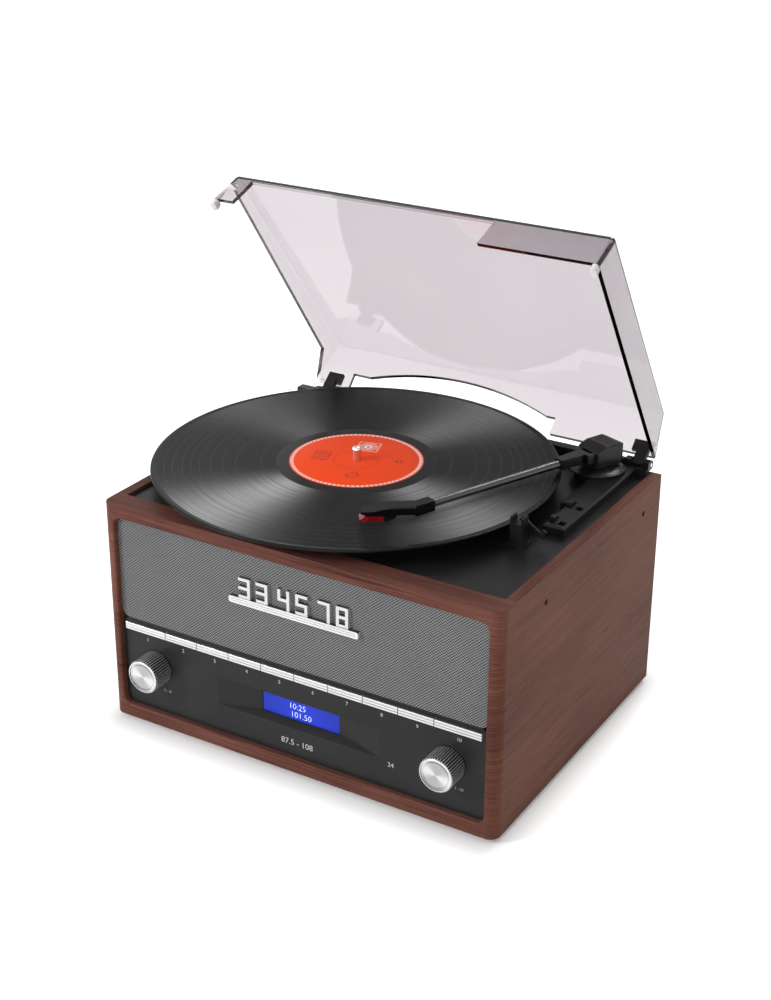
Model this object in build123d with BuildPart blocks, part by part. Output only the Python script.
from build123d import *
import os
from math import cos, radians, sin

# A wooden stereo music centre: a belt-driven turntable under a tilting clear cover, with ten
# front keys, two knobs and a display. Millimetres, +Z up, the front faces -Y. The origin is on
# the ground under the centre of the cabinet. The cover stands open and the tonearm is in play.

# ------------------------------------------------------------------ cabinet sizes
cabinet_width = 322.0
cabinet_depth = 255.0
cabinet_height = 172.5  # without the feet
corner_radius = 8.0
cut_over = 1.0  # how far a cut runs past the face that it opens
frame_thickness = 19.0
side_thickness = 10.5
rim_width = 7.8  # what is left of a side panel beside the deck
bottom_thickness = 9.0
back_thickness = 5.0
back_rebate = 6.0  # how far the back panel reaches into a side panel
back_clearance = 0.2
window_side = 9.5
window_bottom = 9.9
window_top = 10.0
window_radius = 6.5
window_chamfer = 0.8
panel_recess = 4.7  # the fascia and the grille lie this far behind the frame's front
foot_height = 4.0
foot_diameter = 20.0
foot_inset = 24.0
foot_chamfer = 0.6
side_hole_diameter = 4.6
side_hole_depth = 6.0
side_hole_drop = 20.0
side_hole_points = (-64.7, 96.7)
screw_head_diameter = 6.5
screw_head_height = 1.8
screw_diameter = 3.0
screw_length = 14.0
screw_clearance = 0.1
screw_rows = 4
screw_end_margin = 20.0
bottom_screw_pitch = 80.0
bottom_screw_count = 3
vent_count = 9
vent_pitch = 14.0
vent_size = (20.0, 3.0)
vent_drop = 40.0

# ------------------------------------------------------------------ front sizes
fit_gap = 0.2
fascia_thickness = 3.0
fascia_height = 71.6
key_count = 10
key_pitch = 27.86
key_row_margin = 3.8
key_height = 5.7
key_level = 63.3  # underside of the keys above the window's lower edge
key_proud = 2.7
key_gap = 0.5
key_clearance = 0.35
key_travel = 1.5
key_flange = 1.0
key_flange_thickness = 1.3
key_stem_size = 3.0
key_groove_width = 0.5
key_groove_depth = 0.4
key_groove_pitch = 1.9
switch_size = 6.0
switch_depth = 3.6
switch_gap = 0.3
board_thickness = 1.6
key_board_space = 7.9  # from the fascia's back to the key board
key_board_height = 17.5
key_board_drop = 1.0  # its middle lies this far below the keys' middle
key_post_diameter = 4.0
key_post_count = 5
scoop_width = 135.6
scoop_height = 22.6
scoop_level = 23.0
scoop_depth = 5.3
scoop_wall = 2.0
display_width = 64.6
display_height = 15.2
display_level = 26.3
display_sink = 0.5
display_board_width = 84.0
display_board_height = 28.0
display_chip_count = 3
display_chip_pitch = 24.0
display_chip_size = (12.0, 8.0, 1.6)
knob_spacing = 243.8
knob_level = 36.9
knob_diameter = 26.0
knob_length = 17.6
knob_gap = 0.7
knob_flutes = 44
knob_flute_radius = 0.7
knob_rim = 1.7
knob_face_sink = 0.6
knob_face_chamfer = 1.0
shaft_diameter = 6.0
shaft_reach = 14.0
running_gap = 0.05
bush_diameter = 7.0
encoder_size = 14.0
encoder_depth = 7.0
select_travel = 0.5
grille_gap = 0.4
cloth_thickness = 1.2
baffle_thickness = 8.0
speaker_spacing = 190.0
speaker_margin = 3.3  # cloth left above and below a speaker's flange
speaker_lip = 5.0
speaker_depth = 34.0
speaker_magnet_diameter = 44.0
speaker_magnet_height = 16.0
speaker_neck_diameter = 26.4
speaker_neck_drop = 3.0
speaker_wall = 1.2
speaker_flange_thickness = 2.0
badge_width = 105.8
badge_bar_height = 5.1
badge_bar_depth = 3.2
badge_level = 112.0
badge_digit_height = 15.5
badge_digit_depth = 2.6
badge_digit_width = 9.6
badge_digit_stroke = 2.3
badge_digit_pitch = 14.6
badge_pair_gap = 3.4
badge_groove_depth = 0.5

# ------------------------------------------------------------------ inner sizes
main_board_size = (150.0, 96.0)
main_board_point = (-64.0, 32.0)
board_stand = 6.0
board_post_inset = 5.0
board_post_diameter = 6.0
capacitor_columns = 4
capacitor_rows = 2
capacitor_diameter = 12.0
capacitor_height = 16.0
amplifier_size = 14.0
supply_size = (58.0, 84.0, 42.0)
supply_point = (98.0, 62.0)
supply_chamfer = 2.0
socket_plate_size = (150.0, 44.0)
socket_plate_thickness = 2.0
socket_plate_level = 58.0
socket_plate_radius = 4.0
socket_panel_inset = 6.0
inlet_size = (24.0, 16.0)
inlet_depth = 16.0
inlet_wall = 2.0
inlet_pin_diameter = 2.4
inlet_pin_pitch = 8.0
line_socket_count = 5
line_socket_diameter = 8.4
line_socket_bore = 3.36
line_socket_length = 9.0
line_socket_pitch = 14.0

# ------------------------------------------------------------------ deck sizes
deck_drop = 2.5
deck_thickness = 3.0
deck_gap = 0.2
ledge_depth = 8.0
ledge_height = 10.0
ledge_side_margin = 3.0
plateau_left = 121.0
plateau_right = 143.5
plateau_front = 37.5
plateau_height = 6.5
switch_block_left = 127.0
switch_block_front = -3.5
plateau_chamfer = 1.2
platter_point = (-32.2, 9.2)
platter_diameter = 200.0
platter_plate = 3.0
platter_rim = 3.5
platter_lift = 1.5
platter_drop = 5.5
drive_ring_diameter = 150.0
drive_ring_wall = 4.0
hub_diameter = 24.0
mat_thickness = 2.0
mat_diameter = 194.0
record_diameter = 301.6
record_thickness = 1.8
record_rise = 13.8  # top of the record above the deck
label_diameter = 99.4
label_relief = 0.15
spindle_diameter = 7.1
spindle_height = 11.0
spindle_tip = 2.6
bearing_diameter = 14.0
bearing_flange = 30.0
bearing_flange_thickness = 2.5
bearing_length = 26.0
bearing_floor = 2.7
end_float = 0.3
motor_diameter = 38.0
motor_height = 25.0
motor_chamfer = 2.0
motor_angle = 225.0
belt_span = 5.0  # shortest way from the drive ring to the pulley
motor_shaft_diameter = 2.0
pulley_diameter = 12.0
pulley_height = 4.0
belt_thickness = 0.8
belt_height = 3.0
belt_gap = 0.3
belt_drop = 1.0  # the belt runs this far below the platter's plate
motor_hole_diameter = 15.0

# ------------------------------------------------------------------ tonearm sizes
pivot_point = (119.1, 104.2)
arm_yaw = -22.6  # the arm's turn from straight ahead, towards the record
base_diameter = 42.0
base_neck_diameter = 34.0
base_neck_height = 0.7
base_rim_height = 1.0
base_dome_height = 3.0
base_dome_bulge = 2.16  # rise of the dome half way up its slope
base_flat_diameter = 18.9
base_sleeve_diameter = 16.0
base_sleeve_length = 14.0
turret_width = 22.0
turret_front = 11.5
turret_back = 16.2
turret_front_height = 12.0
turret_height = 16.0
turret_gap = 0.3
turret_shaft_diameter = 8.0
turret_rib_count = 4
turret_rib_pitch = 3.2
turret_rib_width = 0.7
turret_rib_depth = 0.5
turret_back_slope = (4.0, 1.5)  # run and fall of the top's rear end
turret_brow = 1.0  # the level top ends this far in front of the pivot
turret_side_radius = 3.0
turret_top_radius = 1.0
yoke_length = 6.2
yoke_wall = 3.2
yoke_height = 7.4
yoke_gap = 0.3
yoke_root = 1.0  # how far the yoke reaches into the turret
bracket_width = 10.0
bracket_height = 7.4
bracket_level = 6.0  # centre of the bracket above the record
bracket_end = 39.3
bracket_end_width = 7.8
lift_axis_setback = 2.7
lift_pin_diameter = 3.0
lift_pin_sink = 0.4  # each end of the pin lies this far inside its ear
tube_diameter = 5.8
tube_level = 6.0
tube_wall = 0.6
tube_end = 156.0
tube_grip = 6.0
head_yaw = -31.4  # the headshell's turn from the tube's line
head_collar_length = 16.0
head_collar_width = 8.6
head_collar_height = 7.6
head_length = 36.3
head_width = 13.0
head_offset = 4.0
head_top = 12.0
head_wall = 1.6
head_nose = 7.0
head_rear = 1.0
head_slope_start = 16.0  # the top slopes from here to the nose
head_nose_height = 1.6
head_seat_depth = 1.0
head_tab = (3.0, 6.0, 1.2)  # finger tab: reach, length and thickness
head_tab_point = 17.75
cartridge_width = 9.4
cartridge_length = 18.0
cartridge_drop = 1.0  # what stands out of the headshell's hollow
cartridge_end_gap = 0.5
stylus_length = 25.0
stylus_height = 5.2
stylus_clear = 1.4
stylus_reach = 29.0
stylus_overhang = 1.0  # the guard reaches this far past the headshell's nose
stylus_guard_rise = 0.6
stylus_front_drop = 2.4
stylus_rear_thickness = 1.6
stylus_flat = 4.0
stylus_belly = 18.8
stylus_tip_radius = 0.8
stylus_tip_gap = 0.3
stylus_tip_taper = 18.0
rest_point = (121.5, -29.0)
rest_flange = (14.0, 12.0)
rest_flange_height = 2.0
rest_post = (10.0, 8.0)
rest_slot_gap = 0.4
rest_prong_height = 5.0
latch_thickness = 2.0
latch_length = 13.0
latch_width = 3.2
latch_pin_diameter = 2.2
latch_boss_wall = 0.4
latch_angle = -32.0  # how the latch hangs when it is open
slider_size = (3.6, 5.0)
slider_height = 3.2
slider_radius = 0.6
slider_travel = 2.5
slider_slot_gap = 0.3
slider_points = ((130.6, 6.8), (130.6, 35.0))
slider_pocket = (5.0, 6.0)

# ------------------------------------------------------------------ cover sizes
cover_open_angle = 54.8
hinge_setback = 2.0
hinge_rise = 7.0  # hinge axis above the deck
cover_length = 227.5
cover_front_reach = 224.2  # from the hinge axis to the front lip
cover_lift = 7.6  # the free edge above the hinge axis, closed
cover_half_width = 153.6  # at the front lip
cover_rear_taper = 1.6  # what each of these takes off the half width at the front lip
cover_top_draft = 1.1
cover_top_rear_taper = 7.8
cover_wall = 3.0
cover_front_height = 30.2
cover_front_lean = 7.8
cover_back_height = 38.0
cover_back_top = 221.0
cover_edge_radius = 3.5
front_cut_left = -135.6
front_cut_right = 64.5
front_cut_height = 25.6
side_cut_height = 20.5
side_cut_start = 7.0
side_cut_end = 205.0
side_cut_rear = 229.0  # where the slanted rear end of the side cut meets the rim
arch_left = -119.0
arch_right = 64.0
arch_shoulder = 13.5
arch_top = 27.0
arch_left_inset = 16.0
arch_right_inset = 8.0
arch_cut_start = 6.0  # the arch is cut from this far behind the rear wall
arch_cut_length = 24.0
bumper_width = 4.6
bumper_length = 8.0
bumper_height = 5.0
bumper_inset = 0.4
hinge_right = 142.0
hinge_left = -135.0
hinge_leaf_half = 4.5
hinge_leaf_wing = 9.0
hinge_leaf_outer = 4.5
hinge_leaf_height = 16.8
hinge_leaf_thickness = 3.0
hinge_ear = 5.0
hinge_side_gap = 0.3
hinge_knuckle = 3.5
hinge_pin_diameter = 3.0
hinge_base_height = 3.0
hinge_base_gap = 0.5
hinge_web = 2.0  # rear wall of the bracket that carries the ears
hinge_leaf_rise = 0.4
record_notch_high = 8.2  # the wide part of a hinge leaf starts here, above the axis

# ------------------------------------------------------------------ places worked out
half_width = cabinet_width / 2
front_y = -cabinet_depth / 2
back_y = cabinet_depth / 2
base_z = foot_height
top_z = base_z + cabinet_height
panel_y = front_y + panel_recess
frame_back_y = front_y + frame_thickness
inner_half_width = half_width - side_thickness
back_inner_y = back_y - back_thickness
window_half = half_width - window_side
window_low = base_z + window_bottom
window_high = top_z - window_top
fascia_back_y = panel_y + fascia_thickness
grille_low = window_low + fascia_height + grille_gap
baffle_front_y = panel_y + cloth_thickness
baffle_back_y = baffle_front_y + baffle_thickness
speaker_z = (grille_low + window_high) / 2
speaker_flange_diameter = window_high - grille_low - 2 * speaker_margin
speaker_opening = speaker_flange_diameter - 2 * speaker_lip
key_low = window_low + key_level
key_mid = key_low + key_height / 2
key_front_y = panel_y - key_proud
key_row_half = window_half - key_row_margin
key_board_y = fascia_back_y + key_board_space
switch_front_y = key_board_y - switch_depth
key_board_low = key_mid - key_board_height / 2 - key_board_drop
knob_z = window_low + knob_level
scoop_floor_y = panel_y + scoop_depth
scoop_mid_z = window_low + scoop_level + scoop_height / 2
display_mid_z = window_low + display_level + display_height / 2
deck_z = top_z - deck_drop
deck_low_z = deck_z - deck_thickness
record_level = deck_z + record_rise
hinge_level = deck_z + hinge_rise
deck_half_width = half_width - rim_width - deck_gap
ledge_z = deck_z + ledge_height
ledge_y = back_y - ledge_depth
plateau_z = deck_z + plateau_height
record_low = record_level - record_thickness
platter_top = record_low - mat_thickness
motor_spacing = drive_ring_diameter / 2 + belt_span + pulley_diameter / 2
motor_point = (
    platter_point[0] + motor_spacing * cos(radians(motor_angle)),
    platter_point[1] + motor_spacing * sin(radians(motor_angle)),
)
belt_low = platter_top - platter_plate - belt_height - belt_drop
base_top = plateau_z + base_neck_height + base_rim_height + base_dome_height
turret_low = base_top + turret_gap
tube_z = record_level + tube_level
bracket_z = record_level + bracket_level
lift_axis_y = -turret_front - lift_axis_setback
hinge_y = back_y + hinge_setback
cover_rear_half_width = cover_half_width - cover_rear_taper
cover_top_half_width = cover_half_width - cover_top_draft
cover_top_rear_half_width = cover_half_width - cover_top_rear_taper


# ------------------------------------------------------------------ planes
def front_plane(y):
    """Upright plane at depth y whose normal points to the front."""
    return Plane.XZ.offset(-y)


def level_plane(z):
    """Level plane at height z."""
    return Plane.XY.offset(z)


def arm_direction(along, across):
    """World x and y of a step in the arm's own axes: along is to the rear."""
    turn = radians(arm_yaw)
    return (across * cos(turn) - along * sin(turn), across * sin(turn) + along * cos(turn))


def arm_point(along, across):
    step = arm_direction(along, across)
    return (pivot_point[0] + step[0], pivot_point[1] + step[1])


def arm_plane(z):
    """Level plane at the arm's pivot: its y runs to the rear along the arm."""
    return Plane(origin=(*pivot_point, z), x_dir=(*arm_direction(0, 1), 0), z_dir=(0, 0, 1))


def arm_side_plane():
    """Upright plane along the arm: x runs to the rear, y is up."""
    across = arm_direction(0, 1)
    return Plane(origin=(*pivot_point, 0), x_dir=(*arm_direction(1, 0), 0), z_dir=(*across, 0))


def arm_cross_plane(along):
    """Upright plane across the arm, its normal towards the headshell."""
    back = arm_direction(1, 0)
    place = (*arm_point(along, 0), 0)
    return Plane(origin=place, x_dir=(*arm_direction(0, 1), 0), z_dir=(-back[0], -back[1], 0))


head_joint = arm_point(-tube_end - head_collar_length, 0)
head_turn = radians(arm_yaw + head_yaw)


def head_plane(z):
    """Level plane at the headshell's rear end: its y runs back along the headshell."""
    return Plane(origin=(*head_joint, z), x_dir=(cos(head_turn), sin(head_turn), 0), z_dir=(0, 0, 1))


def head_side_plane():
    """Upright plane along the headshell: x runs to its rear, y is up."""
    across = (cos(head_turn), sin(head_turn), 0)
    back = (-sin(head_turn), cos(head_turn), 0)
    return Plane(origin=(*head_joint, 0), x_dir=back, z_dir=across)


def cover_plane(lift=0.0):
    """Plane of the closed cover, swung open about the hinge: its y runs to the rear."""
    swing = radians(cover_open_angle)
    normal = (0, sin(swing), cos(swing))
    origin = (0, hinge_y + lift * normal[1], hinge_level + lift * normal[2])
    return Plane(origin=origin, x_dir=(1, 0, 0), z_dir=normal)


def cover_side_plane():
    """Upright plane along the open cover: x runs to its rear, y out of its top."""
    swing = radians(cover_open_angle)
    return Plane(origin=(0, hinge_y, hinge_level), x_dir=(0, cos(swing), -sin(swing)), z_dir=(1, 0, 0))


def write_piece(piece, name):
    piece.label = name
    export_step(piece, f"parts/{name}.step")


# ------------------------------------------------------------------ cabinet
def make_front_frame():
    with BuildPart() as front_frame:
        with BuildSketch(level_plane(base_z)):
            with Locations((0, front_y + frame_thickness / 2)):
                Rectangle(cabinet_width, frame_thickness)
        extrude(amount=cabinet_height)
        fillet(front_frame.edges().filter_by(Axis.Z).group_by(Axis.Y)[0], radius=corner_radius)
        with BuildSketch(front_plane(front_y)):
            with Locations((0, (window_low + window_high) / 2)):
                RectangleRounded(2 * window_half, window_high - window_low, window_radius)
        extrude(amount=-frame_thickness, mode=Mode.SUBTRACT)
        front_face = front_frame.faces().sort_by(Axis.Y)[0]
        chamfer(front_face.inner_wires()[0].edges(), window_chamfer)
    write_piece(front_frame.part, "front_frame")


def back_screw_points():
    """Places (x, z) of the back panel's screws."""
    side_x = inner_half_width + back_rebate / 2
    low = base_z + screw_end_margin
    high = deck_low_z - screw_end_margin
    rows = [low + (high - low) * row / (screw_rows - 1) for row in range(screw_rows)]
    points = [(side * side_x, z) for side in (-1, 1) for z in rows]
    first = -(bottom_screw_count - 1) / 2
    for column in range(bottom_screw_count):
        points.append(((first + column) * bottom_screw_pitch, base_z + bottom_thickness / 2))
    return points


def make_side_panel(side, name):
    outer = side * half_width
    inner = side * inner_half_width
    with BuildPart() as side_panel:
        with BuildSketch(level_plane(base_z)):
            with Locations(((outer + inner) / 2, (frame_back_y + back_y) / 2)):
                Rectangle(side_thickness, back_y - frame_back_y)
        extrude(amount=cabinet_height)
        # rebate for the deck plate along the top
        with BuildSketch(level_plane(top_z)):
            with Locations((side * (half_width - rim_width - side_thickness / 2), 0)):
                Rectangle(side_thickness, cabinet_depth + 2 * cut_over)
        extrude(amount=-(top_z - deck_low_z), mode=Mode.SUBTRACT)
        # rebate for the back panel
        with BuildSketch(level_plane(base_z)):
            with Locations((inner, back_y)):
                Rectangle(2 * back_rebate, 2 * back_thickness)
        extrude(amount=deck_low_z - base_z, mode=Mode.SUBTRACT)
        screw_holes = [(x, z) for x, z in back_screw_points() if x * side > inner_half_width]
        with BuildSketch(front_plane(back_y)):
            with Locations(*screw_holes):
                Circle(screw_diameter / 2 + screw_clearance)
        extrude(amount=screw_length + cut_over, mode=Mode.SUBTRACT)
        hole_z = top_z - side_hole_drop
        with BuildSketch(Plane.YZ.offset(outer)):
            with Locations(*[(y, hole_z) for y in side_hole_points]):
                Circle(side_hole_diameter / 2)
        extrude(amount=-side * side_hole_depth, mode=Mode.SUBTRACT)
    write_piece(side_panel.part, name)


def make_bottom_board():
    with BuildPart() as bottom_board:
        with BuildSketch(level_plane(base_z)):
            with Locations((0, (frame_back_y + back_inner_y) / 2)):
                Rectangle(2 * inner_half_width, back_inner_y - frame_back_y)
        extrude(amount=bottom_thickness)
        screw_holes = [(x, z) for x, z in back_screw_points() if abs(x) < inner_half_width]
        with BuildSketch(front_plane(back_inner_y)):
            with Locations(*screw_holes):
                Circle(screw_diameter / 2 + screw_clearance)
        extrude(amount=screw_length - back_thickness + cut_over, mode=Mode.SUBTRACT)
    write_piece(bottom_board.part, "bottom_board")


def make_back_panel():
    back_half = inner_half_width + back_rebate - back_clearance
    with BuildPart() as back_panel:
        with BuildSketch(level_plane(base_z)):
            with Locations((0, back_y - back_thickness / 2)):
                Rectangle(2 * back_half, back_thickness)
        extrude(amount=deck_low_z - base_z)
        with BuildSketch(front_plane(back_y)):
            with Locations(*back_screw_points()):
                Circle(screw_diameter / 2 + screw_clearance)
        extrude(amount=back_thickness, mode=Mode.SUBTRACT)
        # opening behind the socket plate, and slots that let the warm air out
        with BuildSketch(front_plane(back_y)):
            with Locations((0, socket_plate_level)):
                Rectangle(
                    socket_plate_size[0] - 2 * socket_panel_inset,
                    socket_plate_size[1] - 2 * socket_panel_inset,
                )
            with Locations((0, deck_low_z - vent_drop)):
                with GridLocations(vent_pitch, 1, vent_count, 1):
                    SlotOverall(*vent_size, rotation=90)
        extrude(amount=back_thickness, mode=Mode.SUBTRACT)
    write_piece(back_panel.part, "back_panel")


def make_rubber_feet():
    spread_x = cabinet_width - 2 * foot_inset
    spread_y = cabinet_depth - 2 * foot_inset
    with BuildPart() as rubber_feet:
        with BuildSketch(Plane.XY):
            with GridLocations(spread_x, spread_y, 2, 2):
                Circle(foot_diameter / 2)
        extrude(amount=foot_height)
        chamfer(rubber_feet.edges().group_by(Axis.Z)[0], foot_chamfer)
    write_piece(rubber_feet.part, "rubber_feet")


def make_cabinet_screws():
    with BuildPart() as cabinet_screws:
        with BuildSketch(front_plane(back_y)):
            with Locations(*back_screw_points()):
                Circle(screw_diameter / 2)
        extrude(amount=screw_length)
        with BuildSketch(front_plane(back_y)):
            with Locations(*back_screw_points()):
                Circle(screw_head_diameter / 2)
        extrude(amount=-screw_head_height)
        head_rims = cabinet_screws.edges().filter_by(GeomType.CIRCLE).group_by(Axis.Y)[-1]
        fillet(head_rims, radius=screw_head_height / 3)
    write_piece(cabinet_screws.part, "cabinet_screws")


# ------------------------------------------------------------------ front
def make_grille_cloth():
    high = window_high - fit_gap
    with BuildPart() as grille_cloth:
        with BuildSketch(front_plane(panel_y)) as outline:
            with Locations((0, (grille_low + high) / 2)):
                Rectangle(2 * (window_half - fit_gap), high - grille_low)
            fillet(outline.vertices().group_by(Axis.Z)[-1], radius=window_radius - fit_gap)
        extrude(amount=-cloth_thickness)
    write_piece(grille_cloth.part, "grille_cloth")


def make_speaker_baffle():
    high = window_high - fit_gap
    with BuildPart() as speaker_baffle:
        with BuildSketch(front_plane(baffle_front_y)) as outline:
            with Locations((0, (grille_low + high) / 2)):
                Rectangle(2 * (window_half - fit_gap), high - grille_low)
            fillet(outline.vertices().group_by(Axis.Z)[-1], radius=window_radius - fit_gap)
        extrude(amount=-baffle_thickness)
        with BuildSketch(front_plane(baffle_front_y)):
            with Locations((0, speaker_z)):
                with GridLocations(speaker_spacing, 1, 2, 1):
                    Circle(speaker_opening / 2)
        extrude(amount=-baffle_thickness, mode=Mode.SUBTRACT)
    write_piece(speaker_baffle.part, "speaker_baffle")


def make_fascia_panel():
    low = window_low + fit_gap
    high = window_low + fascia_height
    knob_holes = [(side * knob_spacing / 2, knob_z) for side in (-1, 1)]
    post_z = key_low - key_flange - key_post_diameter / 2 - key_clearance
    with BuildPart() as fascia_panel:
        with BuildSketch(front_plane(panel_y)) as outline:
            with Locations((0, (low + high) / 2)):
                Rectangle(2 * (window_half - fit_gap), high - low)
            fillet(outline.vertices().group_by(Axis.Z)[0], radius=window_radius - fit_gap)
        extrude(amount=-fascia_thickness)
        # pocket behind the scoop
        with BuildSketch(front_plane(fascia_back_y)):
            with Locations((0, scoop_mid_z)):
                Rectangle(scoop_width, scoop_height)
        extrude(amount=-(scoop_depth + scoop_wall - fascia_thickness))
        with BuildSketch(front_plane(panel_y)):
            with Locations((0, scoop_mid_z)):
                Rectangle(scoop_width, scoop_height)
        with BuildSketch(front_plane(scoop_floor_y)):
            with Locations((0, display_mid_z)):
                Rectangle(display_width, display_height)
        loft(mode=Mode.SUBTRACT)
        # window of the display, holes of the knob bushes, slot of the keys
        with BuildSketch(front_plane(panel_y)):
            with Locations((0, display_mid_z)):
                Rectangle(display_width, display_height)
            with Locations(*knob_holes):
                Circle(bush_diameter / 2 + fit_gap)
            with Locations((0, key_mid)):
                Rectangle(2 * (key_row_half + key_clearance), key_height + 2 * key_clearance)
        extrude(amount=-(scoop_depth + scoop_wall), mode=Mode.SUBTRACT)
        # posts that carry the key board
        post_pitch = 2 * (key_row_half - key_post_diameter) / (key_post_count - 1)
        with BuildSketch(front_plane(fascia_back_y)):
            with Locations((0, post_z)):
                with GridLocations(post_pitch, 1, key_post_count, 1):
                    Circle(key_post_diameter / 2)
        extrude(amount=-key_board_space)
    write_piece(fascia_panel.part, "fascia_panel")


def digit_strokes(digit):
    """Bars (x, y, width, height) of one plain seven-bar digit, lower left corner at 0."""
    wide = badge_digit_width
    high = badge_digit_height
    stroke = badge_digit_stroke
    middle = high / 2
    bars = {
        "top": (wide / 2, high - stroke / 2, wide, stroke),
        "middle": (wide / 2, middle, wide, stroke),
        "bottom": (wide / 2, stroke / 2, wide, stroke),
        "upper left": (stroke / 2, (high + middle) / 2, stroke, high - middle),
        "upper right": (wide - stroke / 2, (high + middle) / 2, stroke, high - middle),
        "lower left": (stroke / 2, middle / 2, stroke, middle),
        "lower right": (wide - stroke / 2, middle / 2, stroke, middle),
    }
    used = {
        3: ("top", "middle", "bottom", "upper right", "lower right"),
        4: ("upper left", "middle", "upper right", "lower right"),
        5: ("top", "upper left", "middle", "lower right", "bottom"),
        7: ("top", "upper right", "lower right"),
        8: tuple(bars),
    }
    return [bars[name] for name in used[digit]]


def make_front_badge():
    """A grooved bar with three pairs of plain digits standing on it: the record speeds."""
    low = window_low + badge_level
    digits = (3, 3, 4, 5, 7, 8)
    pair_gaps = (len(digits) // 2 - 1) * badge_pair_gap
    row_width = (len(digits) - 1) * badge_digit_pitch + pair_gaps + badge_digit_width
    with BuildPart() as front_badge:
        with BuildSketch(front_plane(panel_y)):
            with Locations((0, low + badge_bar_height / 2)):
                RectangleRounded(badge_width, badge_bar_height, badge_bar_height / 3)
        extrude(amount=badge_bar_depth)
        with BuildSketch(front_plane(panel_y - badge_bar_depth)):
            with Locations((0, low + badge_bar_height / 2)):
                with GridLocations(1, badge_bar_height / 3, 1, 2):
                    Rectangle(badge_width - badge_bar_height, badge_groove_depth)
        extrude(amount=-badge_groove_depth, mode=Mode.SUBTRACT)
        with BuildSketch(front_plane(panel_y)):
            for place, digit in enumerate(digits):
                start = place * badge_digit_pitch + (place // 2) * badge_pair_gap - row_width / 2
                for x, z, wide, high in digit_strokes(digit):
                    with Locations((start + x, low + badge_bar_height + z)):
                        Rectangle(wide, high)
        extrude(amount=badge_digit_depth)
    write_piece(front_badge.part, "front_badge")


def make_display_module():
    face_y = scoop_floor_y + display_sink
    board_y = panel_y + scoop_depth + scoop_wall
    with BuildPart() as display_module:
        with BuildSketch(front_plane(board_y)):
            with Locations((0, display_mid_z)):
                Rectangle(display_width - 2 * fit_gap, display_height - 2 * fit_gap)
        extrude(amount=board_y - face_y)
        with BuildSketch(front_plane(board_y)):
            with Locations((0, display_mid_z)):
                Rectangle(display_board_width, display_board_height)
        extrude(amount=-board_thickness)
        with BuildSketch(front_plane(board_y + board_thickness)):
            with Locations((0, display_mid_z)):
                with GridLocations(display_chip_pitch, 1, display_chip_count, 1):
                    Rectangle(display_chip_size[0], display_chip_size[1])
        extrude(amount=-display_chip_size[2])
    write_piece(display_module.part, "display_module")


def key_spans():
    """Left and right end of every key along the row."""
    inner = key_count // 2 - 1
    cuts = [step * key_pitch for step in range(-inner, inner + 1)]
    edges = [-key_row_half, *cuts, key_row_half]
    return [(left + key_gap / 2, right - key_gap / 2) for left, right in zip(edges, edges[1:])]


def make_keys():
    stem_end_y = switch_front_y - key_travel - switch_gap
    flange_y = fascia_back_y + key_clearance
    for number, (left, right) in enumerate(key_spans(), start=1):
        middle = (left + right) / 2
        with BuildPart() as key:
            with BuildSketch(front_plane(flange_y)):
                with Locations((middle, key_mid)):
                    Rectangle(right - left, key_height)
            extrude(amount=flange_y - key_front_y)
            fillet(key.faces().sort_by(Axis.Y)[0].edges(), radius=key_groove_depth)
            with BuildSketch(front_plane(key_front_y)):
                with Locations((middle, key_mid)):
                    with GridLocations(1, key_groove_pitch, 1, 2):
                        Rectangle(right - left, key_groove_width)
            extrude(amount=-key_groove_depth, mode=Mode.SUBTRACT)
            with BuildSketch(front_plane(flange_y)):
                with Locations((middle, key_mid)):
                    Rectangle(right - left, key_height + 2 * key_flange)
            extrude(amount=-key_flange_thickness)
            with BuildSketch(front_plane(flange_y + key_flange_thickness)):
                with Locations((middle, key_mid)):
                    Rectangle(key_stem_size, key_stem_size)
            extrude(amount=-(stem_end_y - flange_y - key_flange_thickness))
        write_piece(key.part, f"key_{number}")


def make_key_board():
    with BuildPart() as key_board:
        with BuildSketch(front_plane(key_board_y)):
            with Locations((0, key_board_low + key_board_height / 2)):
                Rectangle(2 * key_row_half, key_board_height)
        extrude(amount=-board_thickness)
        with BuildSketch(front_plane(key_board_y)):
            with Locations(*[((left + right) / 2, key_mid) for left, right in key_spans()]):
                Rectangle(switch_size, switch_size)
        extrude(amount=switch_depth)
    write_piece(key_board.part, "key_board")


def make_encoder(x, name):
    with BuildPart() as encoder:
        with BuildSketch(front_plane(fascia_back_y)):
            with Locations((x, knob_z)):
                Rectangle(encoder_size, encoder_size)
        extrude(amount=-encoder_depth)
        with BuildSketch(front_plane(fascia_back_y)):
            with Locations((x, knob_z)):
                Circle(bush_diameter / 2)
        extrude(amount=fascia_thickness)
        with BuildSketch(front_plane(panel_y)):
            with Locations((x, knob_z)):
                Circle(shaft_diameter / 2 + running_gap)
        extrude(amount=-(fascia_thickness + encoder_depth), mode=Mode.SUBTRACT)
    write_piece(encoder.part, name)


def make_knob_shaft(x, name, side_gap):
    """Shaft from inside the encoder to inside the knob."""
    tip_y = panel_y - knob_gap - shaft_reach
    tail_y = fascia_back_y + encoder_depth - select_travel - end_float
    with BuildPart() as knob_shaft:
        with BuildSketch(front_plane(tail_y)):
            with Locations((x, knob_z)):
                Circle(shaft_diameter / 2 - side_gap)
        extrude(amount=tail_y - tip_y)
    write_piece(knob_shaft.part, name)


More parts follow.
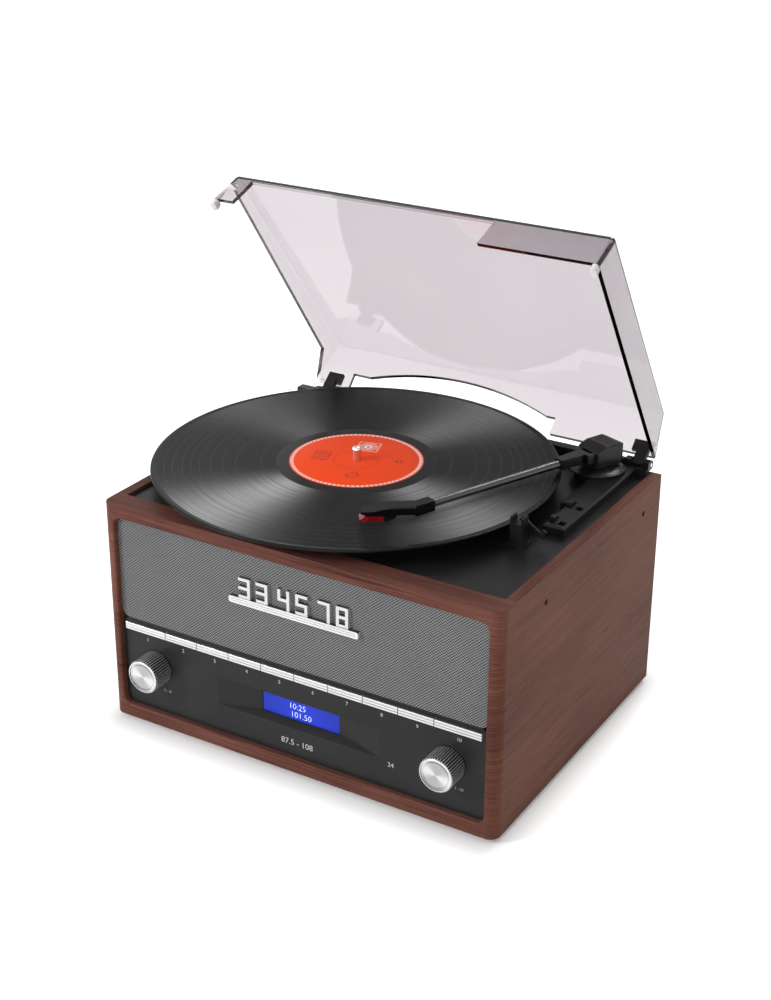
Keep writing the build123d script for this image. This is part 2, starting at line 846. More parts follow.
def make_knob(x, name, bore_gap):
    back = panel_y - knob_gap
    front = back - knob_length
    radius = knob_diameter / 2
    with BuildPart() as knob:
        with BuildSketch(front_plane(back)):
            with Locations((x, knob_z)):
                Circle(radius)
                with PolarLocations(radius, knob_flutes):
                    Circle(knob_flute_radius, mode=Mode.SUBTRACT)
        extrude(amount=knob_length - knob_face_chamfer)
        with BuildSketch(front_plane(front + knob_face_chamfer)):
            with Locations((x, knob_z)):
                Circle(radius - knob_flute_radius)
        extrude(amount=knob_face_chamfer)
        chamfer(knob.edges().filter_by(GeomType.CIRCLE).group_by(Axis.Y)[0], knob_face_chamfer / 2)
        with BuildSketch(front_plane(front)):
            with Locations((x, knob_z)):
                Circle(radius - knob_rim)
        extrude(amount=-knob_face_sink, mode=Mode.SUBTRACT)
        with BuildSketch(front_plane(back)):
            with Locations((x, knob_z)):
                Circle(shaft_diameter / 2 + bore_gap)
        extrude(amount=shaft_reach + end_float, mode=Mode.SUBTRACT)
    write_piece(knob.part, name)


# ------------------------------------------------------------------ inside
def make_speaker(x, name):
    """Flange, basket, cone and magnet of one driver, turned about its axis."""
    flange_radius = speaker_flange_diameter / 2
    mouth = speaker_opening / 2 - speaker_wall
    magnet = speaker_magnet_diameter / 2
    neck = speaker_neck_diameter / 2
    back = speaker_depth - speaker_magnet_height
    axis_plane = Plane(origin=(x, baffle_back_y, speaker_z), x_dir=(1, 0, 0), z_dir=(0, 0, 1))
    with BuildPart() as speaker:
        with BuildSketch(axis_plane):
            with BuildLine():
                Polyline(
                    (mouth, 0),
                    (flange_radius, 0),
                    (flange_radius, speaker_flange_thickness),
                    (mouth, speaker_flange_thickness),
                    (magnet, back),
                    (magnet, speaker_depth),
                    (0, speaker_depth),
                    (0, back - speaker_neck_drop),
                    (neck, back - speaker_neck_drop),
                    (mouth, 0),
                )
            make_face()
        revolve(axis=Axis((x, baffle_back_y, speaker_z), (0, 1, 0)))
    write_piece(speaker.part, name)


def make_main_board():
    low = base_z + bottom_thickness
    board_z = low + board_stand
    wide, deep = main_board_size
    with BuildPart() as main_board:
        with BuildSketch(level_plane(low)):
            with Locations(main_board_point):
                with GridLocations(wide - 2 * board_post_inset, deep - 2 * board_post_inset, 2, 2):
                    Circle(board_post_diameter / 2)
        extrude(amount=board_stand)
        with BuildSketch(level_plane(board_z)):
            with Locations(main_board_point):
                Rectangle(wide, deep)
        extrude(amount=board_thickness)
        with BuildSketch(level_plane(board_z + board_thickness)):
            with Locations(main_board_point):
                column_pitch = wide / capacitor_columns
                row_pitch = deep / capacitor_rows
                with GridLocations(column_pitch, row_pitch, capacitor_columns, capacitor_rows):
                    Circle(capacitor_diameter / 2)
                Rectangle(amplifier_size, amplifier_size)
        extrude(amount=capacitor_height)
    write_piece(main_board.part, "main_board")


def make_power_supply():
    low = base_z + bottom_thickness
    with BuildPart() as power_supply:
        with BuildSketch(level_plane(low)):
            with Locations(supply_point):
                Rectangle(supply_size[0], supply_size[1])
        extrude(amount=supply_size[2])
        chamfer(power_supply.edges().group_by(Axis.Z)[-1], supply_chamfer)
    write_piece(power_supply.part, "power_supply")


def make_rear_socket_plate():
    """Plate on the back panel with the mains inlet, four line sockets and an aerial socket."""
    wide, high = socket_plate_size
    inlet_x = -wide / 2 + socket_panel_inset + inlet_size[0]
    row_end = wide / 2 - line_socket_pitch
    socket_xs = [row_end - step * line_socket_pitch for step in range(line_socket_count)]
    with BuildPart() as socket_plate:
        with BuildSketch(front_plane(back_y)):
            with Locations((0, socket_plate_level)):
                RectangleRounded(wide, high, socket_plate_radius)
        extrude(amount=-socket_plate_thickness)
        with BuildSketch(front_plane(back_y)):
            with Locations((inlet_x, socket_plate_level)):
                Rectangle(inlet_size[0] + 2 * inlet_wall, inlet_size[1] + 2 * inlet_wall)
        extrude(amount=inlet_depth - socket_plate_thickness + inlet_wall)
        with BuildSketch(front_plane(back_y + socket_plate_thickness)):
            with Locations((inlet_x, socket_plate_level)):
                Rectangle(*inlet_size)
        extrude(amount=inlet_depth, mode=Mode.SUBTRACT)
        floor_y = back_y + socket_plate_thickness - inlet_depth
        with BuildSketch(front_plane(floor_y)):
            with Locations((inlet_x, socket_plate_level)):
                with GridLocations(inlet_pin_pitch, 1, 2, 1):
                    Circle(inlet_pin_diameter / 2)
        extrude(amount=-inlet_depth / 2)
        with BuildSketch(front_plane(back_y + socket_plate_thickness)):
            with Locations(*[(socket_x, socket_plate_level) for socket_x in socket_xs]):
                Circle(line_socket_diameter / 2)
                Circle(line_socket_bore / 2, mode=Mode.SUBTRACT)
        extrude(amount=-line_socket_length)
    write_piece(socket_plate.part, "rear_socket_plate")


# ------------------------------------------------------------------ deck
def hinge_notches():
    """Low and high x of the two gaps in the rear ledge; the right gap runs out of its end."""
    reach = hinge_leaf_half + hinge_side_gap + hinge_ear + hinge_side_gap
    return [(hinge_left - reach, hinge_left + reach), (hinge_right - reach, half_width)]


def make_deck_plate():
    slot_length = slider_size[1] + 2 * slider_travel + 2 * slider_slot_gap
    block_point = ((switch_block_left + plateau_right) / 2, (switch_block_front + plateau_front) / 2)
    with BuildPart() as deck_plate:
        with BuildSketch(level_plane(deck_low_z)):
            with Locations((0, (frame_back_y + back_y) / 2)):
                Rectangle(2 * deck_half_width, back_y - frame_back_y)
        extrude(amount=deck_thickness)
        # plateau under the tonearm, with the switch block in front of it
        with BuildSketch(level_plane(deck_z)):
            with Locations(((plateau_left + plateau_right) / 2, (plateau_front + ledge_y) / 2)):
                Rectangle(plateau_right - plateau_left, ledge_y - plateau_front)
            with Locations(block_point):
                Rectangle(plateau_right - switch_block_left, plateau_front - switch_block_front)
            with Locations(pivot_point):
                Circle(base_neck_diameter / 2)
        extrude(amount=plateau_height)
        plateau_top = deck_plate.faces().filter_by(Axis.Z).sort_by(Axis.Z)[-1]
        chamfer(plateau_top.edges(), plateau_chamfer)
        # rear ledge, notched for the hinges
        with BuildSketch(level_plane(deck_z)):
            with Locations((0, back_y - ledge_depth / 2)):
                Rectangle(2 * deck_half_width, ledge_depth)
        extrude(amount=top_z - deck_z)
        with BuildSketch(level_plane(top_z)):
            with Locations((0, back_y - ledge_depth / 2)):
                Rectangle(2 * (half_width - ledge_side_margin), ledge_depth)
        extrude(amount=ledge_z - top_z)
        with BuildSketch(level_plane(top_z)):
            for low_x, high_x in hinge_notches():
                with Locations(((low_x + high_x) / 2, back_y - ledge_depth / 2)):
                    Rectangle(high_x - low_x, ledge_depth)
        extrude(amount=ledge_z - top_z, mode=Mode.SUBTRACT)
        # round clearance in the ledge for the tonearm's base
        with BuildSketch(level_plane(plateau_z)):
            with Locations(pivot_point):
                Circle(base_diameter / 2 + 2 * fit_gap)
        extrude(amount=ledge_z - plateau_z, mode=Mode.SUBTRACT)
        # holes of the bearing, the motor pulley and the tonearm's sleeve
        with BuildSketch(level_plane(deck_low_z)):
            with Locations(platter_point):
                Circle(bearing_diameter / 2 + fit_gap)
            with Locations(motor_point):
                Circle(motor_hole_diameter / 2)
            with Locations(pivot_point):
                Circle(base_sleeve_diameter / 2 + fit_gap)
        extrude(amount=deck_thickness + plateau_height, mode=Mode.SUBTRACT)
        # slots of the two small slide switches, and the pocket beside each
        with BuildSketch(level_plane(plateau_z)):
            with Locations(*slider_points):
                Rectangle(slider_size[0] + 2 * slider_slot_gap, slot_length)
            for x, y in slider_points:
                with Locations((plateau_right - slider_pocket[0], y - slider_pocket[1] / 2)):
                    Rectangle(*slider_pocket)
        extrude(amount=-plateau_height / 2, mode=Mode.SUBTRACT)
    write_piece(deck_plate.part, "deck_plate")


def make_platter_bearing():
    top = deck_z + platter_lift / 2
    low = top - bearing_length
    with BuildPart() as platter_bearing:
        with BuildSketch(level_plane(low)):
            with Locations(platter_point):
                Circle(bearing_diameter / 2)
        extrude(amount=bearing_length)
        with BuildSketch(level_plane(deck_low_z)):
            with Locations(platter_point):
                Circle(bearing_flange / 2)
        extrude(amount=-bearing_flange_thickness)
        with BuildSketch(level_plane(low + bearing_floor)):
            with Locations(platter_point):
                Circle(spindle_diameter / 2 + running_gap)
        extrude(amount=bearing_length, mode=Mode.SUBTRACT)
    write_piece(platter_bearing.part, "platter_bearing")


def make_platter():
    ring_low = platter_top - platter_plate - platter_drop
    with BuildPart() as platter:
        with BuildSketch(level_plane(platter_top - platter_plate)):
            with Locations(platter_point):
                Circle(platter_diameter / 2)
        extrude(amount=platter_plate)
        with BuildSketch(level_plane(ring_low)):
            with Locations(platter_point):
                Circle(platter_diameter / 2)
                Circle(platter_diameter / 2 - platter_rim, mode=Mode.SUBTRACT)
        extrude(amount=platter_drop)
        with BuildSketch(level_plane(ring_low)):
            with Locations(platter_point):
                Circle(drive_ring_diameter / 2)
                Circle(drive_ring_diameter / 2 - drive_ring_wall, mode=Mode.SUBTRACT)
        extrude(amount=platter_drop)
        with BuildSketch(level_plane(ring_low)):
            with Locations(platter_point):
                Circle(hub_diameter / 2)
        extrude(amount=platter_drop)
        with BuildSketch(level_plane(ring_low)):
            with Locations(platter_point):
                Circle(spindle_diameter / 2 + running_gap)
        extrude(amount=platter_drop + platter_plate, mode=Mode.SUBTRACT)
    write_piece(platter.part, "platter")


def make_slip_mat():
    with BuildPart() as slip_mat:
        with BuildSketch(level_plane(platter_top)):
            with Locations(platter_point):
                Circle(mat_diameter / 2)
                Circle(spindle_diameter / 2 + fit_gap, mode=Mode.SUBTRACT)
        extrude(amount=mat_thickness)
    write_piece(slip_mat.part, "slip_mat")


def make_record():
    with BuildPart() as record:
        with BuildSketch(level_plane(record_low)):
            with Locations(platter_point):
                Circle(record_diameter / 2)
                Circle(spindle_diameter / 2 + running_gap, mode=Mode.SUBTRACT)
        extrude(amount=record_thickness)
        with BuildSketch(level_plane(record_level)):
            with Locations(platter_point):
                Circle(label_diameter / 2)
                Circle(spindle_diameter / 2 + running_gap, mode=Mode.SUBTRACT)
        extrude(amount=label_relief)
        rims = record.edges().filter_by(GeomType.CIRCLE).sort_by(SortBy.LENGTH)[-2:]
        fillet(rims, radius=record_thickness / 4)
    write_piece(record.part, "record")


def make_spindle():
    low = deck_z + platter_lift / 2 - bearing_length + bearing_floor + end_float
    top = record_level + spindle_height
    with BuildPart() as spindle:
        with BuildSketch(level_plane(low)):
            with Locations(platter_point):
                Circle(spindle_diameter / 2)
        extrude(amount=top - low)
        tip = spindle.edges().filter_by(GeomType.CIRCLE).sort_by(Axis.Z)[-1]
        fillet(tip, radius=spindle_tip)
    write_piece(spindle.part, "spindle")


def make_motor():
    with BuildPart() as motor:
        with BuildSketch(level_plane(deck_low_z)):
            with Locations(motor_point):
                Circle(motor_diameter / 2)
        extrude(amount=-motor_height)
        chamfer(motor.edges().group_by(Axis.Z)[0], motor_chamfer)
        with BuildSketch(level_plane(deck_low_z)):
            with Locations(motor_point):
                Circle(motor_shaft_diameter / 2 + running_gap)
        extrude(amount=-(motor_height - bearing_floor), mode=Mode.SUBTRACT)
    write_piece(motor.part, "motor")


def make_motor_pulley():
    shaft_low = deck_low_z - motor_height + bearing_floor + end_float
    pulley_low = belt_low - (pulley_height - belt_height) / 2
    with BuildPart() as motor_pulley:
        with BuildSketch(level_plane(shaft_low)):
            with Locations(motor_point):
                Circle(motor_shaft_diameter / 2)
        extrude(amount=pulley_low - shaft_low)
        with BuildSketch(level_plane(pulley_low)):
            with Locations(motor_point):
                Circle(pulley_diameter / 2)
        extrude(amount=pulley_height)
    write_piece(motor_pulley.part, "motor_pulley")


def make_drive_belt():
    with BuildPart() as drive_belt:
        for grown, mode in ((belt_gap + belt_thickness, Mode.ADD), (belt_gap, Mode.SUBTRACT)):
            with BuildSketch(level_plane(belt_low)):
                with Locations(platter_point):
                    Circle(drive_ring_diameter / 2 + grown)
                with Locations(motor_point):
                    Circle(pulley_diameter / 2 + grown)
                make_hull()
            extrude(amount=belt_height, mode=mode)
    write_piece(drive_belt.part, "drive_belt")


# ------------------------------------------------------------------ tonearm
def make_tonearm_base():
    rim_low = plateau_z + base_neck_height
    rim_high = rim_low + base_rim_height
    radius = base_diameter / 2
    neck = base_neck_diameter / 2
    flat = base_flat_diameter / 2
    sleeve = base_sleeve_diameter / 2
    sleeve_low = plateau_z - base_sleeve_length
    bore = turret_shaft_diameter / 2 + running_gap
    axis_plane = Plane(origin=(*pivot_point, 0), x_dir=(1, 0, 0), z_dir=(0, -1, 0))
    with BuildPart() as tonearm_base:
        with BuildSketch(axis_plane):
            with BuildLine():
                Polyline(
                    (bore, base_top),
                    (bore, sleeve_low),
                    (sleeve, sleeve_low),
                    (sleeve, plateau_z),
                    (neck, plateau_z),
                    (neck, rim_low),
                    (radius, rim_low),
                    (radius, rim_high),
                )
                rise = ((radius + flat) / 2, rim_high + base_dome_bulge)
                ThreePointArc((radius, rim_high), rise, (flat, base_top))
                Line((flat, base_top), (bore, base_top))
            make_face()
        revolve(axis=Axis((*pivot_point, 0), (0, 0, 1)))
    write_piece(tonearm_base.part, "tonearm_base")


def make_tonearm_turret():
    front_top = turret_low + turret_front_height
    top = turret_low + turret_height
    half = turret_width / 2
    yoke_inner = bracket_width / 2 + yoke_gap
    yoke_front = -turret_front - yoke_length
    yoke_low = bracket_z - yoke_height / 2
    gap_front = yoke_front - cut_over
    recess = bracket_height / 2 - lift_axis_setback + yoke_gap
    shaft_low = plateau_z - base_sleeve_length + end_float
    with BuildPart() as tonearm_turret:
        with BuildSketch(arm_side_plane()):
            with BuildLine():
                Polyline(
                    (-turret_front, turret_low),
                    (turret_back, turret_low),
                    (turret_back, top - turret_back_slope[1]),
                    (turret_back - turret_back_slope[0], top),
                    (-turret_brow, top),
                    (-turret_front, front_top),
                    close=True,
                )
            make_face()
        extrude(amount=half, both=True)
        fillet(tonearm_turret.edges().filter_by(Axis.Z), radius=turret_side_radius)
        fillet(tonearm_turret.faces().sort_by(Axis.Z)[-1].edges(), radius=turret_top_radius)
        with BuildSketch(arm_plane(top)):
            with Locations((0, turret_back / 2)):
                with GridLocations(1, turret_rib_pitch, 1, turret_rib_count):
                    Rectangle(turret_width, turret_rib_width)
        extrude(amount=-turret_rib_depth, mode=Mode.SUBTRACT)
        with BuildSketch(arm_side_plane()):
            with Locations(((yoke_front - turret_front) / 2, yoke_low + yoke_height / 2)):
                Rectangle(yoke_length, yoke_height)
            with Locations((yoke_root / 2 - turret_front, yoke_low + yoke_height / 2)):
                Rectangle(yoke_root, yoke_height)
        extrude(amount=yoke_inner + yoke_wall, both=True)
        # gap between the two ears, running on into the turret's front
        with BuildSketch(arm_side_plane()):
            with Locations(((gap_front - turret_front + recess) / 2, bracket_z)):
                Rectangle(recess - turret_front - gap_front, yoke_height + 2 * yoke_gap)
        extrude(amount=yoke_inner, both=True, mode=Mode.SUBTRACT)
        with BuildSketch(arm_side_plane()):
            with Locations((lift_axis_y, bracket_z)):
                Circle(lift_pin_diameter / 2 + running_gap)
        extrude(amount=turret_width, both=True, mode=Mode.SUBTRACT)
        with BuildSketch(arm_plane(turret_low)):
            Circle(turret_shaft_diameter / 2)
        extrude(amount=-(turret_low - shaft_low))
    write_piece(tonearm_turret.part, "tonearm_turret")


def make_tonearm_bracket():
    pin_half = bracket_width / 2 + yoke_gap + yoke_wall - lift_pin_sink
    with BuildPart() as tonearm_bracket:
        with BuildSketch(arm_side_plane()):
            with Locations((lift_axis_y, bracket_z)):
                Circle(bracket_height / 2)
            with Locations(((lift_axis_y - bracket_end) / 2, bracket_z)):
                Rectangle(bracket_end + lift_axis_y, bracket_height)
        extrude(amount=bracket_width / 2, both=True)
        with BuildSketch(arm_plane(bracket_z - bracket_height)):
            with BuildLine():
                Polyline(
                    (-bracket_width / 2, 0),
                    (-bracket_width / 2, lift_axis_y),
                    (-bracket_end_width / 2, -bracket_end),
                    (bracket_end_width / 2, -bracket_end),
                    (bracket_width / 2, lift_axis_y),
                    (bracket_width / 2, 0),
                    close=True,
                )
            make_face()
        extrude(amount=2 * bracket_height, mode=Mode.INTERSECT)
        with BuildSketch(arm_side_plane()):
            with Locations((lift_axis_y, bracket_z)):
                Circle(lift_pin_diameter / 2)
        extrude(amount=pin_half, both=True)
        with BuildSketch(arm_cross_plane(-bracket_end)):
            with Locations((0, tube_z)):
                Circle(tube_diameter / 2 + running_gap)
        extrude(amount=-tube_grip, mode=Mode.SUBTRACT)
    write_piece(tonearm_bracket.part, "tonearm_bracket")


def make_tonearm_tube():
    with BuildPart() as tonearm_tube:
        with BuildSketch(arm_cross_plane(-bracket_end + tube_grip)):
            with Locations((0, tube_z)):
                Circle(tube_diameter / 2)
                Circle(tube_diameter / 2 - tube_wall, mode=Mode.SUBTRACT)
        extrude(amount=tube_end - bracket_end + tube_grip)
    write_piece(tonearm_tube.part, "tonearm_tube")


def make_headshell():
    top = record_level + head_top
    low = record_level + stylus_clear + stylus_height
    half = head_width / 2
    with BuildPart() as headshell:
        with BuildSketch(arm_cross_plane(-tube_end)):
            with Locations((0, tube_z)):
                Rectangle(head_collar_width, head_collar_height)
        extrude(amount=head_collar_length)
        with BuildSketch(head_plane(low)) as plan:
            with BuildLine():
                Polyline(
                    (head_offset - half, head_rear),
                    (head_offset + half, head_rear),
                    (head_offset + half, -head_length + head_nose),
                    (head_offset + half / 2, -head_length),
                    (head_offset - half / 2, -head_length),
                    (head_offset - half, -head_length + head_nose),
                    close=True,
                )
            make_face()
        extrude(amount=top - low)
        chamfer(headshell.faces().sort_by(Axis.Z)[-1].edges(), head_wall / 2)
        # the top slopes down to the nose
        with BuildSketch(head_side_plane()):
            with BuildLine():
                Polyline(
                    (-head_slope_start, top + cut_over),
                    (-head_slope_start, top),
                    (-head_length - cut_over, low + head_nose_height),
                    (-head_length - cut_over, top + cut_over),
                    close=True,
                )
            make_face()
        extrude(amount=head_width * 2, both=True, mode=Mode.SUBTRACT)
        # finger tab on the outer side
        with BuildSketch(head_plane(low)):
            with Locations((head_offset + half + head_tab[0] / 2, -head_tab_point)):
                Rectangle(head_tab[0], head_tab[1])
        extrude(amount=head_tab[2])
        # hollow underside for the cartridge
        with BuildSketch(head_plane(low)):
            with Locations((head_offset, -head_length + cartridge_length / 2 + head_nose / 2)):
                Rectangle(head_width - 2 * head_wall, cartridge_length + 2 * cartridge_end_gap)
        extrude(amount=head_seat_depth, mode=Mode.SUBTRACT)
    write_piece(headshell.part, "headshell")


def make_cartridge():
    """Generator body, seated in the hollow under the headshell."""
    low = record_level + stylus_clear + stylus_height
    with BuildPart() as cartridge:
        with BuildSketch(head_plane(low + head_seat_depth)):
            with Locations((head_offset, -head_length + cartridge_length / 2 + head_nose / 2)):
                Rectangle(cartridge_width, cartridge_length)
        extrude(amount=-head_seat_depth - cartridge_drop)
    write_piece(cartridge.part, "cartridge")


def make_stylus_unit():
    high = record_level + stylus_clear + stylus_height - cartridge_drop
    low = record_level + stylus_clear
    start = -head_length - stylus_overhang
    with BuildPart() as stylus_unit:
        with BuildSketch(head_side_plane()):
            with BuildLine():
                Polyline(
                    (start, high - stylus_front_drop),
                    (start, low + stylus_guard_rise),
                    (start + stylus_belly, low),
                    (start + stylus_length, high - stylus_rear_thickness),
                    (start + stylus_length, high),
                    (start + stylus_flat, high),
                    close=True,
                )
            make_face()
        extrude(amount=cartridge_width / 2, both=True)
        # stylus tip under the guard
        with BuildSketch(head_plane(low + stylus_guard_rise)):
            with Locations((0, -stylus_reach)):
                Circle(stylus_tip_radius)
        extrude(amount=-(stylus_guard_rise + stylus_clear - stylus_tip_gap), taper=stylus_tip_taper)
    shift = Vector(cos(head_turn), sin(head_turn), 0) * head_offset
    moved = stylus_unit.part.moved(Location(shift))
    write_piece(moved, "stylus_unit")


def make_arm_rest():
    slot = tube_diameter + 2 * rest_slot_gap
    seat_z = tube_z - tube_diameter / 2 - rest_slot_gap
    x, y = rest_point
    wide, deep = rest_post
    with BuildPart() as arm_rest:
        with BuildSketch(level_plane(deck_z)):
            with Locations(rest_point):
                Rectangle(*rest_flange)
        extrude(amount=rest_flange_height)
        with BuildSketch(level_plane(deck_z)):
            with Locations(rest_point):
                Rectangle(wide, deep)
        extrude(amount=seat_z + rest_prong_height - deck_z)
        with BuildSketch(level_plane(seat_z)):
            with Locations(rest_point):
                Rectangle(slot, deep)
        extrude(amount=rest_prong_height, mode=Mode.SUBTRACT)
        # pin that carries the latch, behind the right prong
        with BuildSketch(front_plane(y + deep / 2)):
            with Locations((x + wide / 2 - latch_width / 2, seat_z - latch_width / 2)):
                Circle(latch_pin_diameter / 2)
        extrude(amount=-(latch_thickness + 2 * end_float))
    write_piece(arm_rest.part, "arm_rest")


def make_arm_rest_latch():
    """Hooked lever on the rear of the arm rest, swung open to the right."""
    seat_z = tube_z - tube_diameter / 2 - rest_slot_gap
    x = rest_point[0] + rest_post[0] / 2 - latch_width / 2
    z = seat_z - latch_width / 2
    y = rest_point[1] + rest_post[1] / 2 + end_float
    with BuildPart() as arm_rest_latch:
        with BuildSketch(front_plane(y)):
            with Locations((x, z)):
                Circle(latch_width / 2 + latch_boss_wall)
            with Locations(Location((x, z), latch_angle)):
                with Locations((latch_length / 2, 0)):
                    Rectangle(latch_length, latch_width)
                with Locations((latch_length, latch_width / 2)):
                    Rectangle(latch_width, 2 * latch_width)
            with Locations((x, z)):
                Circle(latch_pin_diameter / 2 + running_gap, mode=Mode.SUBTRACT)
        extrude(amount=-latch_thickness)
    write_piece(arm_rest_latch.part, "arm_rest_latch")


def make_slider(place, name):
    floor_z = plateau_z - plateau_height / 2 + slider_slot_gap
    with BuildPart() as slider:
        with BuildSketch(level_plane(floor_z)):
            with Locations(slider_points[place]):
                Rectangle(*slider_size)
        extrude(amount=plateau_z + slider_height - floor_z)
        fillet(slider.edges().group_by(Axis.Z)[-1], radius=slider_radius)
    write_piece(slider.part, name)


# ------------------------------------------------------------------ cover
def cover_block(inset):
    """Closed block of the cover's outer form, or of its inside when inset by the wall."""
    front = -cover_front_reach + inset
    rear = front - inset + cover_length - inset
    top_front = front + cover_front_lean
    top_rear = cover_back_top - cover_front_reach - inset
    low = cover_lift - (cut_over if inset else 0)
    slope = (cover_back_height - cover_front_height) / (cover_back_top - cover_front_lean)
    top_plane = cover_plane(cover_lift + cover_front_height - inset)
    across = top_plane.x_dir
    along = top_plane.y_dir + top_plane.z_dir * slope
    start = top_plane.from_local_coords(Vector(0, top_front, 0))
    top_length = (top_rear - top_front) * along.length
    with BuildPart() as block:
        with BuildSketch(cover_plane(low)):
            with BuildLine():
                Polyline(
                    (-cover_half_width + inset, front),
                    (cover_half_width - inset, front),
                    (cover_rear_half_width - inset, rear),
                    (-cover_rear_half_width + inset, rear),
                    close=True,
                )
            make_face()
        with BuildSketch(Plane(origin=start, x_dir=across, z_dir=across.cross(along))):
            with BuildLine():
                Polyline(
                    (-cover_top_half_width + inset, 0),
                    (cover_top_half_width - inset, 0),
                    (cover_top_rear_half_width - inset, top_length),
                    (-cover_top_rear_half_width + inset, top_length),
                    close=True,
                )
            make_face()
        loft(ruled=True)
    return block


def cover_windows():
    """Everything cut out of the cover's walls: front cut, left side cut and rear arch."""
    front = -cover_front_reach
    with BuildPart() as cut:
        # front wall: all but a strip under the top edge
        middle = (front_cut_left + front_cut_right) / 2
        with BuildSketch(cover_plane(cover_lift - cut_over)):
            with Locations((middle, front + cover_front_lean / 2)):
                Rectangle(front_cut_right - front_cut_left, 2 * (cover_front_lean + 2 * cut_over))
        extrude(amount=front_cut_height + cut_over)
        # left wall: cut back behind the front corner, slanting down to the hinge
        with BuildSketch(cover_side_plane().offset(-cover_half_width - cut_over)):
            with BuildLine():
                Polyline(
                    (front + side_cut_start, cover_lift - cut_over),
                    (front + side_cut_start, cover_lift + side_cut_height),
                    (front + side_cut_end, cover_lift + side_cut_height),
                    (front + side_cut_rear, cover_lift - cut_over),
                    close=True,
                )
            make_face()
        extrude(amount=cover_top_rear_taper + cover_wall + cut_over)
    with BuildPart() as arch:
        rear = cover_length - cover_front_reach
        arch_plane = Plane(
            origin=cover_plane().from_local_coords(Vector(0, rear + arch_cut_start, 0)),
            x_dir=(1, 0, 0),
            z_dir=cover_side_plane().x_dir,
        )
        with BuildSketch(arch_plane):
            with BuildLine():
                left = (arch_left, -cover_lift - arch_shoulder)
                right = (arch_right, -cover_lift - arch_shoulder)
                left_in = (arch_left + arch_left_inset, -cover_lift - arch_shoulder)
                right_in = (arch_right - arch_right_inset, -cover_lift - arch_shoulder)
                crown = ((arch_left + arch_right) / 2, -cover_lift - arch_top)
                Polyline(left_in, left, (arch_left, 0), (arch_right, 0), right, right_in)
                ThreePointArc(right_in, crown, left_in)
            make_face()
        extrude(amount=-arch_cut_length)
    return cut.part, arch.part


def make_dust_cover():
    outer = cover_block(0)
    inner = cover_block(cover_wall)
    walls, arch = cover_windows()
    with BuildPart() as dust_cover:
        add(outer.part)
        rim = dust_cover.faces().sort_by(Axis(cover_plane().origin, cover_plane().z_dir))[0]
        rim_edges = rim.edges()
        fillet([edge for edge in dust_cover.edges() if edge not in rim_edges], radius=cover_edge_radius)
        add(inner.part, mode=Mode.SUBTRACT)
        add(walls, mode=Mode.SUBTRACT)
        add(arch, mode=Mode.SUBTRACT)
    write_piece(dust_cover.part, "dust_cover")


def make_cover_bumpers():
    """Soft pads under the two front corners of the cover."""
    place_x = cover_half_width - bumper_inset - bumper_width / 2
    place_y = -cover_front_reach + bumper_inset + bumper_length / 2
    with BuildPart() as cover_bumpers:
        with BuildSketch(cover_plane(cover_lift - bumper_height)):
            with Locations((-place_x, place_y), (place_x, place_y)):
                SlotOverall(bumper_length, bumper_width, rotation=90)
        extrude(amount=bumper_height)
    write_piece(cover_bumpers.part, "cover_bumpers")


def make_hinge_bracket(centre, name):
    """Base on the deck's rear, with two ears round the pin."""
    reach = hinge_leaf_half + hinge_side_gap
    base_back = hinge_y - hinge_knuckle - hinge_base_gap
    with BuildPart() as hinge_bracket:
        with BuildSketch(level_plane(top_z)):
            with Locations((centre, (ledge_y + base_back) / 2)):
                Rectangle(2 * (reach + hinge_ear), base_back - ledge_y)
        extrude(amount=hinge_base_height)
        for side in (-1, 1):
            with BuildSketch(Plane.YZ.offset(centre + side * reach)):
                with Locations((hinge_y, hinge_level)):
                    Circle(hinge_knuckle)
                with Locations(((base_back - hinge_web + hinge_y) / 2, hinge_level)):
                    Rectangle(hinge_y - base_back + hinge_web, 2 * hinge_knuckle)
                with Locations((base_back - hinge_web / 2, (top_z + hinge_level) / 2)):
                    Rectangle(hinge_web, hinge_level - top_z)
            extrude(amount=side * hinge_ear)
        with BuildSketch(Plane.YZ.offset(centre - reach - hinge_ear)):
            with Locations((hinge_y, hinge_level)):
                Circle(hinge_pin_diameter / 2 + running_gap)
        extrude(amount=2 * (reach + hinge_ear), mode=Mode.SUBTRACT)
    write_piece(hinge_bracket.part, name)


def make_hinge_pins():
    reach = hinge_leaf_half + hinge_side_gap + hinge_ear
    with BuildPart() as hinge_pins:
        for centre in (hinge_left, hinge_right):
            with BuildSketch(Plane.YZ.offset(centre - reach)):
                with Locations((hinge_y, hinge_level)):
                    Circle(hinge_pin_diameter / 2)
            extrude(amount=2 * reach)
    write_piece(hinge_pins.part, "hinge_pins")


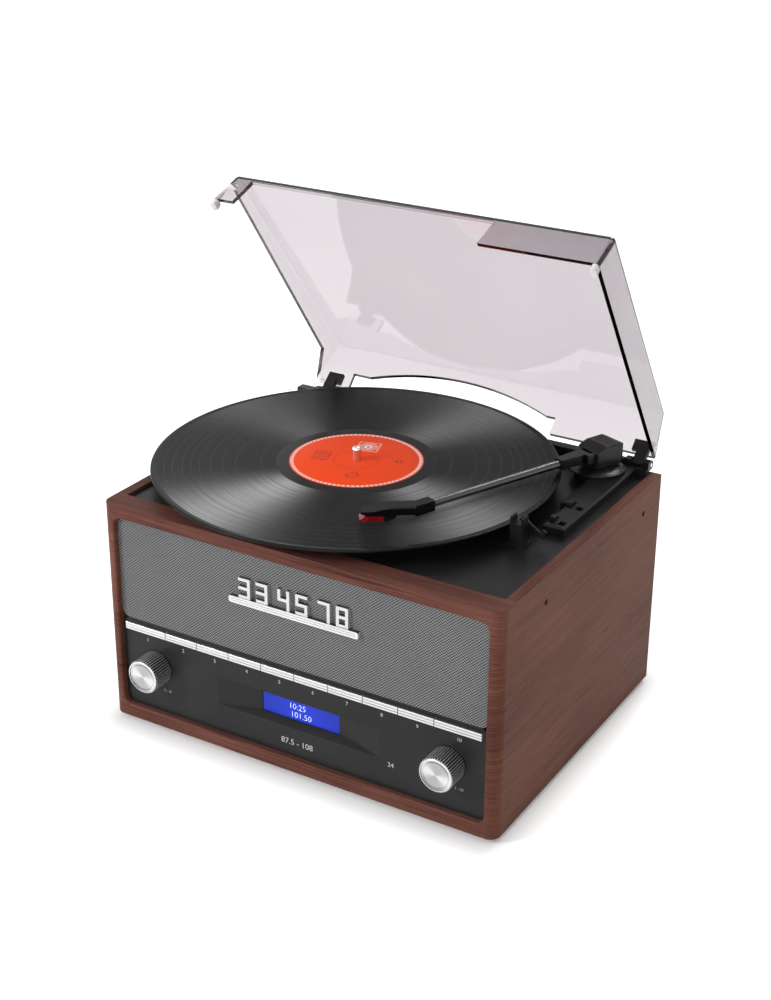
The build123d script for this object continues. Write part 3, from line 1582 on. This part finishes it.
def make_hinge_leaves():
    """Two leaves that clasp the cover's rear wall from inside."""
    wall_lean = (cover_length - cover_back_top) / cover_back_height
    top = hinge_leaf_height
    face_low = cover_length - cover_front_reach - cover_wall - 2 * fit_gap
    face_high = face_low - wall_lean * (top - cover_lift)
    with BuildPart() as hinge_leaves:
        for centre, wing_side in ((hinge_left, 1), (hinge_right, -1)):
            start = centre - hinge_leaf_half
            with BuildSketch(cover_side_plane().offset(start)):
                Circle(hinge_knuckle)
                with BuildLine():
                    Polyline(
                        (-hinge_knuckle, hinge_leaf_rise),
                        (face_high - hinge_leaf_thickness, top),
                        (face_high, top),
                        (face_low, cover_lift),
                        (0, hinge_knuckle),
                        (0, hinge_leaf_rise),
                        close=True,
                    )
                make_face()
            extrude(amount=2 * hinge_leaf_half)
            # upper part of the leaf, wider, clear of a record that overhangs the deck
            wing_low = record_notch_high
            spread = hinge_leaf_wing + hinge_leaf_outer
            wing_start = centre + min(-hinge_leaf_outer * wing_side, hinge_leaf_wing * wing_side)
            slope = (face_high - face_low) / (top - cover_lift)
            wing_face = face_low + slope * (wing_low - cover_lift)
            with BuildSketch(cover_side_plane().offset(wing_start)):
                with BuildLine():
                    Polyline(
                        (wing_face - hinge_leaf_thickness, wing_low),
                        (face_high - hinge_leaf_thickness, top),
                        (face_high, top),
                        (wing_face, wing_low),
                        close=True,
                    )
                make_face()
            extrude(amount=spread)
            with BuildSketch(cover_side_plane().offset(start)):
                Circle(hinge_pin_diameter / 2 + running_gap)
            extrude(amount=2 * hinge_leaf_half, mode=Mode.SUBTRACT)
    write_piece(hinge_leaves.part, "hinge_leaves")


# ------------------------------------------------------------------ everything
os.makedirs("parts", exist_ok=True)
knob_x = knob_spacing / 2
make_front_frame()
make_side_panel(-1, "left_side_panel")
make_side_panel(1, "right_side_panel")
make_bottom_board()
make_back_panel()
make_rubber_feet()
make_cabinet_screws()
make_grille_cloth()
make_speaker_baffle()
make_fascia_panel()
make_front_badge()
make_display_module()
make_keys()
make_key_board()
make_encoder(-knob_x, "volume_encoder")
make_knob_shaft(-knob_x, "volume_shaft", 0.0)
make_knob(-knob_x, "volume_knob", 0.0)
make_encoder(knob_x, "select_encoder")
make_knob_shaft(knob_x, "select_plunger", 0.0)
make_knob(knob_x, "select_knob", running_gap)
make_speaker(-speaker_spacing / 2, "left_speaker")
make_speaker(speaker_spacing / 2, "right_speaker")
make_main_board()
make_power_supply()
make_rear_socket_plate()
make_deck_plate()
make_platter_bearing()
make_platter()
make_slip_mat()
make_record()
make_spindle()
make_motor()
make_motor_pulley()
make_drive_belt()
make_tonearm_base()
make_tonearm_turret()
make_tonearm_bracket()
make_tonearm_tube()
make_headshell()
make_cartridge()
make_stylus_unit()
make_arm_rest()
make_arm_rest_latch()
make_slider(0, "speed_slider")
make_slider(1, "stop_slider")
make_hinge_bracket(hinge_left, "left_hinge_bracket")
make_hinge_bracket(hinge_right, "right_hinge_bracket")
make_hinge_pins()
make_hinge_leaves()
make_dust_cover()
make_cover_bumpers()
